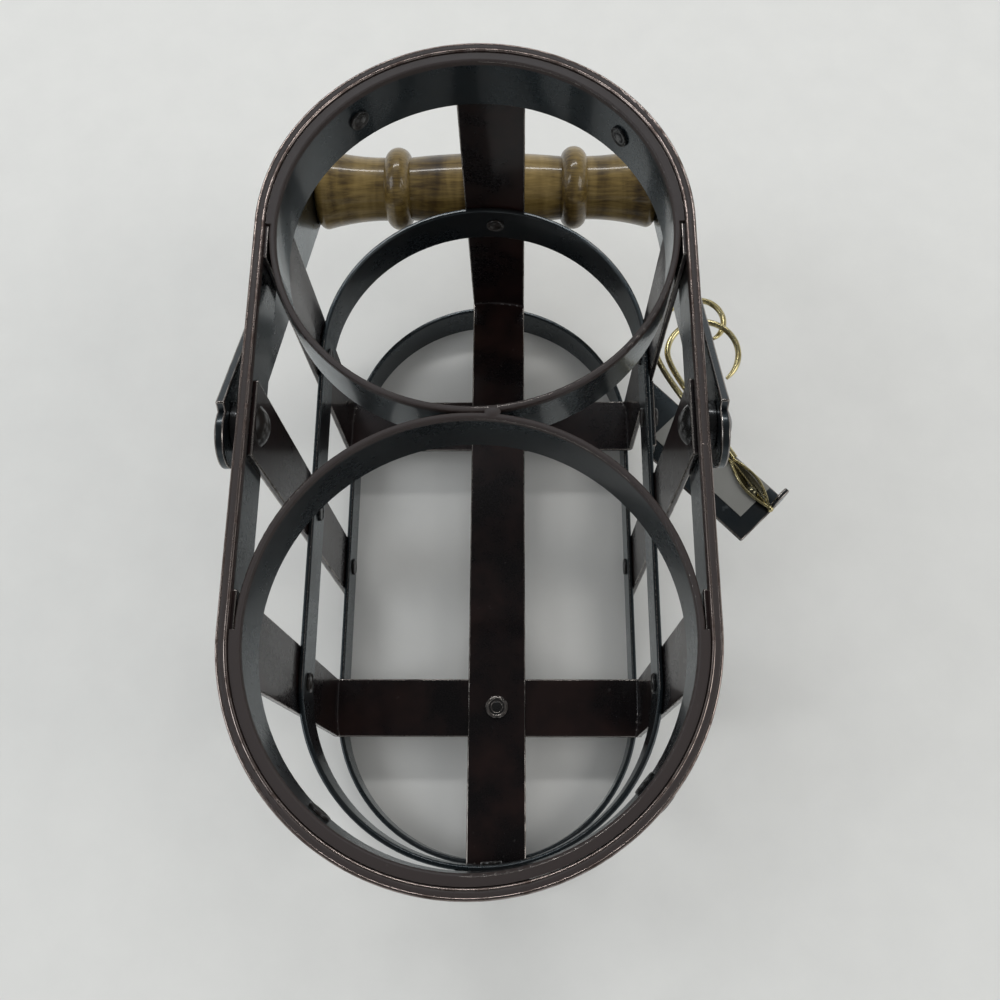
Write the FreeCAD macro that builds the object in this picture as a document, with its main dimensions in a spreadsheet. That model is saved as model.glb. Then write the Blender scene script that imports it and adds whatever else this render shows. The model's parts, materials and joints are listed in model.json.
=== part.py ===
"""Two-bottle carrying caddy of riveted steel strap, with a swinging bail and a turned wooden grip.

Everything is drawn about the middle of the caddy (X across, Y along, Z up from the floor) and each
piece is then placed so that the origin lies under the middle of the whole object.
"""
import FreeCAD, Part
import math
import os
import Sketcher
from FreeCAD import Placement, Rotation, Vector

# Each driving size: its name, its value and what it measures (mm, or degrees for a turn or an angle)
SIZES = (
    ("ring_bore", 92.0, "inner diameter of a bottle ring"),
    ("sheet", 1.5, "thickness of every hoop, ring and strap"),
    ("rim_height", 138.0, "top of the rim above the floor"),
    ("band_height", 17.0, "height of the top band"),
    ("bead_proud", 0.5, "how far the rolled rim bead stands out on each side"),
    ("bead_height", 2.6, "height of the rolled rim bead"),
    ("bead_round", 1.1, "rounding of the bead's top edges"),
    ("bead_ease", 0.3, "rounding of the bead's lower edges"),
    ("ring_height", 15.5, "height of a bottle ring"),
    ("ring_drop", 0.6, "bottle ring's top below the rim"),
    ("lip_height", 1.2, "height of the lip that turns out from a ring's top towards the rim"),
    ("lip_gap", 0.1, "gap between a ring's lip and the rim bead"),
    ("weld_length", 4.8, "weld on the two rings, across the caddy"),
    ("weld_width", 4.0, "weld on the two rings, along the caddy"),
    ("weld_height", 0.7, "height of the weld over its middle"),
    ("weld_sink", 0.15, "middle of the weld below the rings' top"),
    ("weld_shift", 4.5, "weld from the place where the rings touch"),
    ("edge_round", 0.6, "rounding of the edges of hoops and rings"),
    ("riser_drop", 3.2, "top end of a riser below the rim"),
    ("riser_lift", 1.0, "bottom end of a middle riser above the floor"),
    ("mid_hoop_drop", 63.5, "middle hoop's top below the rim"),
    ("mid_hoop_height", 14.0, "height of the middle hoop"),
    ("foot_height", 13.5, "height of the foot hoop"),
    ("strap_width", 18.0, "width of every strap"),
    ("bend_round", 2.4, "outer radius of a strap's bend"),
    ("bend_inside", 0.6, "inner radius of a strap's bend"),
    ("cross_offset", 48.0, "middle of a cross strap from the middle of the caddy"),
    ("long_shift", 3.0, "middle of the long strap from the middle of the caddy, across"),
    ("rivet_shank", 3.4, "diameter of a rivet's shank"),
    ("rivet_head", 5.4, "diameter of a rivet's head"),
    ("rivet_dome", 1.1, "height of a rivet's head"),
    ("rivet_play", 0.05, "radial play of a rivet in its hole"),
    ("ring_rivet_turn", 45.0, "angle of a ring rivet from the cross line of its ring"),
    ("ring_rivet_skew", 5.0, "shift of both rivets of a ring towards the right, as an angle"),
    ("tube_head", 7.0, "diameter of a tubular rivet's flange"),
    ("tube_shank", 5.0, "diameter of a tubular rivet's shank"),
    ("tube_bore", 3.2, "bore of a tubular rivet"),
    ("tube_flange", 0.9, "thickness of a tubular rivet's flange"),
    ("pivot_drop", 8.5, "bail's pivot below the rim"),
    ("pivot_shank", 5.0, "diameter of a pivot rivet's shank"),
    ("pivot_head", 9.0, "diameter of a pivot rivet's head"),
    ("pivot_dome", 2.0, "height of a pivot rivet's head"),
    ("pivot_play", 0.08, "radial play of a bail arm on its pivot"),
    ("pivot_gap", 0.15, "side play of a bail arm on its pivot"),
    ("spacer_length", 2.55, "length of a pivot spacer"),
    ("spacer_width", 11.0, "diameter of a pivot spacer"),
    ("arm_thickness", 2.0, "thickness of a bail arm"),
    ("arm_width", 19.0, "width of a bail arm"),
    ("arm_shoulder", 4.0, "bail arm's square shoulder past its pivot"),
    ("ear_radius", 7.0, "radius of the round ear past the shoulder"),
    ("bail_drop", 64.9, "hanging grip's axis below the pivot"),
    ("rest_gap", 0.35, "hanging grip's gap to the rivet head behind it"),
    ("barrel_width", 21.5, "diameter of the grip in its middle"),
    ("groove_width", 19.2, "diameter of the grip on both sides of a bead"),
    ("ball_width", 25.2, "diameter of a turned bead"),
    ("ball_length", 8.0, "length of a turned bead along the grip"),
    ("ball_place", 27.5, "middle of a turned bead from the middle of the grip"),
    ("flare_width", 24.4, "diameter of the grip's flared end"),
    ("flare_round", 2.6, "rounding of the grip's end"),
    ("screw_head", 9.0, "diameter of a grip screw's head"),
    ("screw_dome", 2.4, "height of a grip screw's head"),
    ("screw_shank", 4.4, "diameter of a grip screw's shank"),
    ("screw_depth", 22.0, "depth of a grip screw in the wood"),
    ("bracket_lift", 0.5, "top of the ornament's bracket above the middle hoop's lower edge"),
    ("bracket_turn", 46.0, "angle of the bracket from the cross line of the caddy"),
    ("bracket_back", 3.8, "bracket's far edge at its root, short of the far riser's middle"),
    ("bracket_reach", 53.5, "length of the bracket along its far edge"),
    ("tab_height", 7.0, "height of the turned-up tab at the bracket's far corner"),
    ("tab_width", 4.0, "width of the turned-up tab"),
    ("flange_inset", 3.5, "flange's top below the middle hoop's top"),
    ("flange_gap", 0.4, "flange's gap to the riser beside it"),
    ("leaf_length", 22.0, "length of the leaf"),
    ("leaf_width", 6.4, "width of the leaf"),
    ("leaf_height", 2.4, "height of the leaf's rim"),
    ("leaf_floor", 0.9, "thickness of the leaf's floor"),
    ("leaf_wall", 0.8, "thickness of the leaf's rim"),
    ("leaf_turn", 15.5, "angle between the leaf and the bracket"),
    ("leaf_back", 18.4, "leaf's root from the bracket's end, along the bracket"),
    ("leaf_aside", 2.2, "leaf's root from the bracket's far edge"),
    ("leaf_ball", 2.8, "diameter of the ball at the leaf's tip"),
    ("pin_shank", 2.0, "diameter of the leaf's rivet"),
    ("pin_head", 3.2, "diameter of the leaf rivet's head"),
    ("pin_dome", 0.7, "height of the leaf rivet's head"),
    ("wire_width", 1.8, "diameter of the tendril's wires"),
    ("wire_gap", 0.5, "gap between the two wires at the leaf's root"),
    ("wire_seat", 0.05, "tendril's gap to the bracket under it"),
    ("stem_length", 2.2, "straight stem between the leaf and a wire"),
    ("near_radius", 10.5, "radius of the near hook, to the wire's middle"),
    ("near_along", 6.4, "middle of the near hook from the bracket's root, along the bracket"),
    ("near_out", 16.6, "middle of the near hook from the bracket's far edge"),
    ("near_turn", 262.0, "turn of the near hook"),
    ("far_radius", 16.2, "radius of the far hook, to the wire's middle"),
    ("far_along", 5.1, "middle of the far hook from the bracket's root, along the bracket"),
    ("far_out", 20.2, "middle of the far hook from the bracket's far edge"),
    ("far_turn", 112.0, "turn of the far hook before it curls in"),
    ("curl_radius", 7.2, "radius of the curl at the end of the far hook, to the wire's middle"),
    ("curl_turn", 159.0, "turn of the curl"),
    ("hook_tilt", 4.0, "slope of each hook, the near one up and the far one down"),
)

# Sizes that follow from the driving ones
WORKED = (
    ("ring_inner", "Sizes.ring_bore / 2", "inner radius of rings and hoops"),
    ("ring_outer", "ring_inner + Sizes.sheet", "outer radius of rings and hoops"),
    ("riser_outer", "ring_outer + Sizes.sheet", "outer radius of the risers"),
    ("band_outer", "riser_outer + Sizes.sheet", "outer radius of the top band"),
    ("bead_outer", "band_outer + Sizes.bead_proud", "outer radius of the rim bead"),
    ("bead_inner", "riser_outer - Sizes.bead_proud", "inner radius of the rim bead"),
    ("end_offset", "ring_outer", "centre of a ring from the middle: the rings touch"),
    ("band_level", "Sizes.rim_height - Sizes.band_height", "bottom of the top band"),
    ("bead_level", "Sizes.rim_height - Sizes.bead_height", "bottom of the rim bead"),
    ("ring_top", "Sizes.rim_height - Sizes.ring_drop", "top of the rings"),
    ("ring_level", "ring_top - Sizes.ring_height", "bottom of the rings"),
    ("lip_inner", "ring_inner + Sizes.sheet / 2", "inner radius of a ring's lip, inside the ring's wall"),
    ("lip_outer", "bead_inner - Sizes.lip_gap", "outer radius of a ring's lip"),
    ("lip_level", "ring_top - Sizes.lip_height", "bottom of a ring's lip"),
    ("riser_top", "Sizes.rim_height - Sizes.riser_drop", "top of the risers"),
    ("riser_length", "riser_top - Sizes.riser_lift", "length of a middle riser"),
    ("mid_hoop_top", "Sizes.rim_height - Sizes.mid_hoop_drop", "top of the middle hoop"),
    ("mid_level", "mid_hoop_top - Sizes.mid_hoop_height", "bottom of the middle hoop"),
    ("mid_rivet_level", "mid_hoop_top - Sizes.mid_hoop_height / 2", "middle hoop's rivets"),
    ("foot_rivet_level", "Sizes.foot_height / 2", "foot hoop's rivets"),
    ("cross_floor", "Sizes.foot_height + Sizes.sheet", "top of the cross straps on the foot hoop"),
    ("long_floor", "cross_floor + Sizes.sheet", "top of the long strap on the cross straps"),
    ("cross_depth", "riser_top - cross_floor", "inside height of a cross strap"),
    ("long_depth", "riser_top - long_floor", "inside height of the long strap"),
    ("cross_reach", "riser_top - Sizes.foot_height", "outside height of a cross strap"),
    ("long_reach", "riser_top - cross_floor", "outside height of the long strap"),
    ("half_strap", "Sizes.strap_width / 2", "half the width of a strap"),
    ("two_layers", "2 * Sizes.sheet", "a hoop and a strap together"),
    ("three_layers", "3 * Sizes.sheet", "a ring, a riser's room and the band together"),
    ("body_length", "2 * (end_offset + bead_outer)", "length of the caddy over its rim"),
    ("body_width", "2 * bead_outer", "width of the caddy over its rim"),
    ("pivot_level", "Sizes.rim_height - Sizes.pivot_drop", "bail's pivot above the floor"),
    ("spacer_face", "band_outer + Sizes.spacer_length", "outer face of a pivot spacer"),
    ("arm_inner", "spacer_face + Sizes.pivot_gap", "inner face of a bail arm"),
    ("arm_outer", "arm_inner + Sizes.arm_thickness", "outer face of a bail arm"),
    ("pivot_seat", "arm_outer + Sizes.pivot_gap", "seat of a pivot rivet's outer head"),
    ("pivot_grip", "pivot_seat - ring_outer", "pivot rivet between its heads"),
    ("grip_y", "end_offset + riser_outer + Sizes.rivet_dome + Sizes.rest_gap + Sizes.barrel_width / 2",
     "hanging grip's axis from the middle of the caddy"),
    ("bail_radius", "sqrt(grip_y ^ 2 + Sizes.bail_drop ^ 2)", "grip's axis from the pivot"),
    ("hang_turn", "atan(Sizes.bail_drop / grip_y)", "bail's hang below the level"),
    ("arm_length", "bail_radius + Sizes.arm_shoulder", "straight part of a bail arm"),
    ("rivet_ball", "(Sizes.rivet_head ^ 2 / 4 + Sizes.rivet_dome ^ 2) / (2 * Sizes.rivet_dome)",
     "radius of a rivet's dome"),
    ("pivot_ball", "(Sizes.pivot_head ^ 2 / 4 + Sizes.pivot_dome ^ 2) / (2 * Sizes.pivot_dome)",
     "radius of a pivot rivet's dome"),
    ("screw_ball", "(Sizes.screw_head ^ 2 / 4 + Sizes.screw_dome ^ 2) / (2 * Sizes.screw_dome)",
     "radius of a screw's dome"),
    ("pin_ball", "(Sizes.pin_head ^ 2 / 4 + Sizes.pin_dome ^ 2) / (2 * Sizes.pin_dome)",
     "radius of the leaf rivet's dome"),
    ("head_seat", "ring_inner - sqrt(ring_inner ^ 2 - Sizes.rivet_head ^ 2 / 4)",
     "hollow behind a flat head inside a ring"),
    ("half_grip", "arm_inner", "half the length of the grip"),
    ("ball_start", "Sizes.ball_place - Sizes.ball_length / 2", "inner end of a turned bead"),
    ("ball_finish", "Sizes.ball_place + Sizes.ball_length / 2", "outer end of a turned bead"),
    ("ball_sag", "(Sizes.ball_width - Sizes.groove_width) / 2", "height of a turned bead"),
    ("ball_round", "(Sizes.ball_length ^ 2 / 4 + ball_sag ^ 2) / (2 * ball_sag)",
     "radius of a turned bead's outline"),
    ("flare_start", "half_grip - Sizes.flare_round", "start of the rounding at the grip's end"),
    ("tip_x", "riser_outer + Sizes.bracket_reach * cos(Sizes.bracket_turn * 1 deg)",
     "far corner of the bracket, across from the middle of the caddy"),
    ("bracket_level", "mid_level + Sizes.bracket_lift", "top of the bracket above the floor"),
    ("bracket_root", "Sizes.cross_offset - Sizes.bracket_back", "bracket's far edge at its root"),
    ("flange_start", "bracket_root - Sizes.strap_width / cos(Sizes.bracket_turn * 1 deg)",
     "near edge of the bracket's flange"),
    ("flange_end", "Sizes.cross_offset - half_strap - Sizes.flange_gap", "far edge of the flange"),
    ("flange_rivet", "(flange_start + flange_end) / 2", "bracket's rivet from the middle of the caddy"),
    ("flange_height", "mid_hoop_top - Sizes.flange_inset - bracket_level", "height of the flange"),
    ("leaf_round", "(Sizes.leaf_length ^ 2 + Sizes.leaf_width ^ 2) / (4 * Sizes.leaf_width)",
     "radius of each side of the leaf's outline"),
    ("leaf_offset", "leaf_round - Sizes.leaf_width / 2", "centre of a side of the leaf's outline"),
    ("pin_grip", "Sizes.sheet + Sizes.leaf_floor", "leaf's rivet between its heads"),
    ("left_reach", "arm_outer + max(Sizes.screw_dome; Sizes.pivot_gap + Sizes.pivot_dome)",
     "left end of the whole object from the middle of the caddy"),
    ("far_reach", "grip_y + max(Sizes.ball_width; Sizes.flare_width) / 2",
     "far end of the whole object from the middle of the caddy"),
    ("origin_x", "(left_reach - tip_x) / 2", "shift that centres the object across"),
    ("origin_y", "(body_length / 2 - far_reach) / 2", "shift that centres the object along"),
)

UP = Vector(0, 0, 1)
BOTH = (1, -1)
SIDES = (("right", 1), ("left", -1))
NEAR_ENOUGH = 1e-6

doc = FreeCAD.newDocument("BottleCaddy")
PIECES = []


def fill_sheet(name, rows, lead):
    """Writes one row per size: what it is, and its value under its alias."""
    sheet = doc.addObject("Spreadsheet::Sheet", name)
    for row, (alias, content, note) in enumerate(rows, start=1):
        sheet.set(f"A{row}", note)
        sheet.set(f"B{row}", f"{lead}{content}")
        sheet.setAlias(f"B{row}", alias)
    doc.recompute()
    return sheet


sizes = fill_sheet("Sizes", SIZES, "")
worked = fill_sheet("Worked", WORKED, "=")
SHEET_OF = {row[0]: sheet for sheet, rows in ((sizes, SIZES), (worked, WORKED)) for row in rows}


def value(alias):
    """The present number in a cell."""
    content = SHEET_OF[alias].get(alias)
    return float(getattr(content, "Value", content))


def cell(alias):
    """A cell's full name, for use in a formula."""
    return f"{SHEET_OF[alias].Name}.{alias}"


def tie(thing, **formulas):
    """Binds properties of an object to formulas."""
    for name, formula in formulas.items():
        thing.setExpression(name, formula)


def finish(thing, label):
    """Names a finished piece and places it about the common origin."""
    thing.Label = label
    thing.setExpression("Placement.Base.x", "Worked.origin_x")
    thing.setExpression("Placement.Base.y", "Worked.origin_y")
    PIECES.append(thing)
    return thing


# Primitives and booleans

def box(name, lengths, corner):
    """A block with its sides and its low corner given as formulas."""
    block = doc.addObject("Part::Box", name)
    tie(block, Length=lengths[0], Width=lengths[1], Height=lengths[2])
    for axis, formula in zip("xyz", corner):
        block.setExpression(f"Placement.Base.{axis}", formula)
    return block


def cylinder(name, radius, height, place):
    """A round bar along the local Z of its place."""
    bar = doc.addObject("Part::Cylinder", name)
    tie(bar, Radius=radius, Height=height)
    bar.Placement = place
    return bar


def dome(name, head, place):
    """A rivet's domed head: a cap of a ball that stands on the local XY plane of its place."""
    ball, height = f"{head}_ball", f"{head}_dome"
    cap = doc.addObject("Part::Sphere", name)
    tie(cap, Radius=cell(ball), Angle1=f"asin(1 - {cell(height)} / {cell(ball)})")
    cap.Placement = lifted(place, value(height) - value(ball))
    return cap


def fuse(name, shapes):
    """Several shapes as one solid, without seams in flat or round faces."""
    joined = doc.addObject("Part::MultiFuse", name)
    joined.Shapes = shapes
    joined.Refine = True
    return joined


def common(name, base, tool):
    """What two shapes share."""
    shared = doc.addObject("Part::Common", name)
    shared.Base, shared.Tool = base, tool
    return shared


def cut(name, base, tool):
    """One shape with another taken out of it."""
    rest = doc.addObject("Part::Cut", name)
    rest.Base, rest.Tool = base, tool
    return rest


def group(name, shapes):
    """Separate solids kept together as one object."""
    gathered = doc.addObject("Part::Compound", name)
    gathered.Links = shapes
    return gathered


# Sketches

def plane_of(body, role):
    """One of a body's own origin planes."""
    return next(feature for feature in body.Origin.OriginFeatures if feature.Role == role)


def new_sketch(body, name, level=None):
    """A sketch on the body's XY plane, lifted to a level."""
    sketch = body.newObject("Sketcher::SketchObject", name)
    sketch.AttachmentSupport = [(plane_of(body, "XY_Plane"), "")]
    sketch.MapMode = "FlatFace"
    if level:
        sketch.setExpression("AttachmentOffset.Base.z", level)
    return sketch


def limit(sketch, name, formula, *constraint):
    """Adds a dimension and binds it to a formula."""
    index = sketch.addConstraint(Sketcher.Constraint(*constraint))
    sketch.renameConstraint(index, name)
    sketch.setExpression(f"Constraints.{name}", formula)


def round_ended_loop(sketch, radius):
    """A closed outline of two straight sides and two half circles about the ring centres."""
    wide, half = value(radius), value("end_offset")
    right, far, left, near = sketch.addGeometry([
        Part.LineSegment(Vector(wide, -half, 0), Vector(wide, half, 0)),
        Part.ArcOfCircle(Part.Circle(Vector(0, half, 0), UP, wide), 0, math.pi),
        Part.LineSegment(Vector(-wide, half, 0), Vector(-wide, -half, 0)),
        Part.ArcOfCircle(Part.Circle(Vector(0, -half, 0), UP, wide), math.pi, 2 * math.pi)], False)
    for one, two in ((right, far), (far, left), (left, near), (near, right)):
        sketch.addConstraint(Sketcher.Constraint("Tangent", one, 2, two, 1))
    for arc in (far, near):
        sketch.addConstraint(Sketcher.Constraint("PointOnObject", arc, 3, -2))
    sketch.addConstraint(Sketcher.Constraint("Equal", far, near))
    limit(sketch, f"{radius}_size", cell(radius), "Radius", far, wide)
    limit(sketch, f"{radius}_far", "Worked.end_offset", "DistanceY", -1, 1, far, 3, half)
    limit(sketch, f"{radius}_near", "Worked.end_offset", "DistanceY", near, 3, -1, 1, half)


def pad(body, name, sketch, height):
    """Raises a sketch into a solid."""
    feature = body.newObject("PartDesign::Pad", name)
    feature.Profile = sketch
    tie(feature, Length=height)


def soften(body, name, radius, chosen):
    """Rounds those edges of a body that a test picks."""
    doc.recompute()
    base = body.Tip
    names = [f"Edge{number}" for number, edge in enumerate(base.Shape.Edges, start=1) if chosen(edge)]
    feature = body.newObject("PartDesign::Fillet", name)
    feature.Base = (base, names)
    tie(feature, Radius=radius)


def at_level(level):
    """A test for edges that lie at one height."""
    return lambda edge: all(abs(vertex.Z - level) < NEAR_ENOUGH for vertex in edge.Vertexes)


def on_outline(radius):
    """A test for edges that lie on one round-ended outline."""
    def tests(edge):
        point = edge.valueAt(sum(edge.ParameterRange) / 2)
        return abs(math.hypot(point.x, max(0, abs(point.y) - value("end_offset"))) - radius) < NEAR_ENOUGH
    return tests


def round_ended_hoop(name, outer, inner, level, height):
    """A hoop between two round-ended outlines."""
    body = doc.addObject("PartDesign::Body", name)
    sketch = new_sketch(body, f"{name}_outline", level)
    round_ended_loop(sketch, outer)
    round_ended_loop(sketch, inner)
    pad(body, f"{name}_wall", sketch, height)
    return body


# Where the rivets sit: each place has its local Z along the rivet, outward from the inner face

def aimed(point, direction):
    """A place whose local Z points along a direction."""
    return Placement(point, Rotation(UP, direction))


def on_wall(radius, side, along, level):
    """A point of a round-ended wall on one side of the caddy, with its outward direction."""
    past = max(0, abs(along) - value("end_offset"))
    turn = math.asin(past / value("ring_outer"))
    outward = Vector(side * math.cos(turn), math.copysign(math.sin(turn), along), 0)
    centre = Vector(0, math.copysign(abs(along) - past, along), level)
    return aimed(centre + outward * radius, outward)


def on_end(radius, end, turn, level):
    """A point of a round end, at an angle from its cross line, with its outward direction."""
    outward = Vector(math.cos(turn), end * math.sin(turn), 0)
    return aimed(Vector(0, end * value("end_offset"), level) + outward * radius, outward)


INNER = value("ring_inner")
PIVOT_LEVEL = value("pivot_level")
RING_TURN, RING_SKEW = (math.radians(value(name)) for name in ("ring_rivet_turn", "ring_rivet_skew"))
RING_PLACES = [on_end(INNER, end, turn - RING_SKEW, PIVOT_LEVEL)
               for end in BOTH for turn in (RING_TURN, math.pi - RING_TURN)]
MID_LEVEL = value("mid_rivet_level")
LONG_TURN = math.acos(value("long_shift") / INNER)
MID_PLACES = [on_end(INNER, end, LONG_TURN, MID_LEVEL) for end in BOTH]
MID_PLACES += [on_wall(INNER, side, along * value("cross_offset"), MID_LEVEL)
               for side in BOTH for along in (1, 0, -1)]
FOOT_PLACES = [on_wall(INNER, side, 0, value("foot_rivet_level")) for side in BOTH]
FLANGE_PLACE = on_wall(INNER, 1, value("flange_rivet"), MID_LEVEL)
TUBE_PLACES = [aimed(Vector(value("long_shift"), end * value("cross_offset"), value("foot_height")), UP)
               for end in BOTH]
PIVOT_PLACES = {"right": aimed(Vector(value("ring_outer"), 0, PIVOT_LEVEL), Vector(1, 0, 0)),
                "left": aimed(Vector(-value("ring_outer"), 0, PIVOT_LEVEL), Vector(-1, 0, 0))}


def lifted(place, height):
    """The same place moved along its local Z."""
    return place * Placement(Vector(0, 0, height), Rotation())


def turned_over(place, depth=0):
    """The same place looking the other way, from a depth along its local Z."""
    return place * Placement(Vector(0, 0, depth), Rotation(Vector(1, 0, 0), 180))


def bores(name, places, shank, layers):
    """Holes for rivets through a number of sheet layers, run a little past both faces."""
    drills = []
    for number, place in enumerate(places, start=1):
        drills.append(cylinder(f"{name}_{number}", f"{cell(shank)} / 2 + Sizes.rivet_play",
                               f"{layers + 2} * Sizes.sheet", lifted(place, -value("sheet"))))
    return drills


DRILLS = group("rivet_holes", bores("ring_hole", RING_PLACES, "rivet_shank", 3)
               + bores("mid_hole", MID_PLACES, "rivet_shank", 2)
               + bores("foot_hole", FOOT_PLACES, "rivet_shank", 2)
               + bores("flange_hole", [FLANGE_PLACE], "rivet_shank", 2)
               + bores("tube_hole", TUBE_PLACES, "tube_shank", 2)
               + bores("pivot_hole", PIVOT_PLACES.values(), "pivot_shank", 2))


def drilled(label, blank):
    """A finished piece of strap: its blank with every rivet hole that meets it."""
    return finish(cut(label, blank, DRILLS), label)


# Hoops and rings

def top_band():
    """The tall round-ended band, with a rolled bead along its rim."""
    body = round_ended_hoop("band_blank", "band_outer", "riser_outer", "Worked.band_level",
                            "Sizes.band_height")
    sketch = new_sketch(body, "bead_outline", "Worked.bead_level")
    round_ended_loop(sketch, "bead_outer")
    round_ended_loop(sketch, "bead_inner")
    pad(body, "rim_bead", sketch, "Sizes.bead_height")
    soften(body, "bead_top", "Sizes.bead_round", at_level(value("rim_height")))
    below = at_level(value("bead_level"))
    sides = [on_outline(value(radius)) for radius in ("bead_outer", "bead_inner")]
    soften(body, "bead_base", "Sizes.bead_ease",
           lambda edge: below(edge) and any(side(edge) for side in sides))
    drilled("top_band", body)


def bottle_ring(end, label):
    """One round ring, against the other ring and the risers, with a lip towards the rim of its own end."""
    body = doc.addObject("PartDesign::Body", f"{label}_blank")
    sketch = new_sketch(body, f"{label}_outline", "Worked.ring_level")
    centre = Vector(0, end * value("end_offset"), 0)
    for radius in ("ring_outer", "ring_inner"):
        circle = sketch.addGeometry(Part.Circle(centre, UP, value(radius)), False)
        sketch.addConstraint(Sketcher.Constraint("PointOnObject", circle, 3, -2))
        limit(sketch, f"{radius}_size", cell(radius), "Radius", circle, value(radius))
        points = (-1, 1, circle, 3) if end > 0 else (circle, 3, -1, 1)
        limit(sketch, f"{radius}_place", "Worked.end_offset", "DistanceY", *points, value("end_offset"))
    pad(body, f"{label}_wall", sketch, "Sizes.ring_height")
    soften(body, f"{label}_edge", "Sizes.edge_round", at_level(value("ring_top")))
    foot = Placement(centre + UP * value("lip_level"), Rotation())
    disc, bore = (cylinder(f"{label}_{radius}", cell(radius), "Sizes.lip_height", foot)
                  for radius in ("lip_outer", "lip_inner"))
    start = "Worked.end_offset" if end > 0 else "-Worked.end_offset - Worked.body_length"
    half = box(f"{label}_half", ("Worked.body_width", "Worked.body_length", "Sizes.rim_height"),
               ("-Worked.body_width / 2", start, "0"))
    lip = common(f"{label}_lip", cut(f"{label}_flat_ring", disc, bore), half)
    blank = fuse(f"{label}_lipped", [body, lip])
    drilled(label, blank)
    return blank


def ring_weld(rings):
    """The bead of weld that lies over both rings beside the place where they touch."""
    bead = doc.addObject("Part::Ellipsoid", "weld_bead")
    tie(bead, Radius1="Sizes.weld_height", Radius2="Sizes.weld_length / 2", Radius3="Sizes.weld_width / 2")
    bead.Placement = Placement(Vector(value("weld_shift"), 0, value("ring_top") - value("weld_sink")),
                               Rotation())
    finish(cut("weld", bead, group("welded_rings", rings)), "ring_weld")


def plain_hoop(label, level, height, top):
    """A round-ended hoop with a rounded top edge."""
    body = round_ended_hoop(f"{label}_blank", "ring_outer", "ring_inner", level, height)
    soften(body, f"{label}_edge", "Sizes.edge_round", at_level(top))
    drilled(label, body)


# Straps: each is a strip of a round-ended tray, so it lies against the hoops all the way

def tray(name, level, reach, floor, depth):
    """A round-ended tray of sheet with bent edges, as high as the risers."""
    body = doc.addObject("PartDesign::Body", name)
    outside = new_sketch(body, f"{name}_outside", level)
    round_ended_loop(outside, "riser_outer")
    pad(body, f"{name}_block", outside, reach)
    inside = new_sketch(body, f"{name}_inside", "Worked.riser_top")
    round_ended_loop(inside, "ring_outer")
    hollow = body.newObject("PartDesign::Pocket", f"{name}_hollow")
    hollow.Profile = inside
    tie(hollow, Length=depth)
    soften(body, f"{name}_bend", "Sizes.bend_round", at_level(value(floor) - value("sheet")))
    soften(body, f"{name}_crease", "Sizes.bend_inside", at_level(value(floor)))
    return body


def straps():
    """The long strap over the two cross straps, each bent up into risers."""
    crosswise = tray("cross_tray", "Sizes.foot_height", "Worked.cross_reach", "cross_floor",
                     "Worked.cross_depth")
    lengthwise = tray("long_tray", "Worked.cross_floor", "Worked.long_reach", "long_floor",
                      "Worked.long_depth")
    strip = box("long_strip", ("Sizes.strap_width", "Worked.body_length", "Sizes.rim_height"),
                ("Sizes.long_shift - Worked.half_strap", "-Worked.body_length / 2", "0"))
    drilled("long_strap", common("long_blank", lengthwise, strip))
    for label, sign in (("cross_strap_far", ""), ("cross_strap_near", "-")):
        strip = box(f"{label}_strip", ("Worked.body_width", "Sizes.strap_width", "Sizes.rim_height"),
                    ("-Worked.body_width / 2", f"{sign}Sizes.cross_offset - Worked.half_strap", "0"))
        drilled(label, common(f"{label}_blank", crosswise, strip))


def middle_risers():
    """A straight riser in the middle of each side, outside both hoops."""
    shell = round_ended_hoop("riser_shell", "riser_outer", "ring_outer", "Sizes.riser_lift",
                             "Worked.riser_length")
    for label, start in (("middle_riser_right", "0"), ("middle_riser_left", "-Worked.body_width")):
        strip = box(f"{label}_strip", ("Worked.body_width", "Sizes.strap_width", "Sizes.rim_height"),
                    (start, "-Worked.half_strap", "0"))
        drilled(label, common(f"{label}_blank", shell, strip))


# Rivets

def rivet(name, place, head, grip, hollows=0):
    """A shank with a domed head at each end; a head inside a ring stands over the hollow behind it."""
    lower = hollows * value("head_seat")
    shank = cylinder(f"{name}_shank", f"{cell(head + '_shank')} / 2",
                     f"{cell(grip)} + {hollows} * Worked.head_seat", lifted(place, -lower))
    return fuse(name, [shank, dome(f"{name}_head", head, turned_over(place, -lower)),
                       dome(f"{name}_tail", head, lifted(place, value(grip)))])


def strap_rivets():
    """The rivets that hold hoops, rings, risers and the bracket together."""
    for label, places, grip in (("ring_rivets", RING_PLACES, "three_layers"),
                                ("mid_hoop_rivets", MID_PLACES, "two_layers"),
                                ("foot_hoop_rivets", FOOT_PLACES, "two_layers")):
        made = [rivet(f"{label}_{number}", place, "rivet", grip, 1)
                for number, place in enumerate(places, start=1)]
        finish(group(label, made), label)
    finish(rivet("flange_rivet", FLANGE_PLACE, "rivet", "two_layers", 1), "bracket_rivet")


def tube_rivets():
    """Tubular rivets where the long strap crosses the cross straps."""
    made = []
    whole = "Worked.two_layers + 2 * Sizes.tube_flange"
    for number, place in enumerate(TUBE_PLACES, start=1):
        name = f"tube_{number}"
        below = lifted(place, -value("tube_flange"))
        shapes = [cylinder(f"{name}_shank", "Sizes.tube_shank / 2", whole, below)]
        for end, spot in (("below", below), ("above", lifted(place, value("two_layers")))):
            shapes.append(cylinder(f"{name}_{end}", "Sizes.tube_head / 2", "Sizes.tube_flange", spot))
        bore = cylinder(f"{name}_bore", "Sizes.tube_bore / 2", whole, below)
        made.append(cut(name, fuse(f"{name}_outside", shapes), bore))
    finish(group("tube_rivets", made), "base_rivets")


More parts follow.
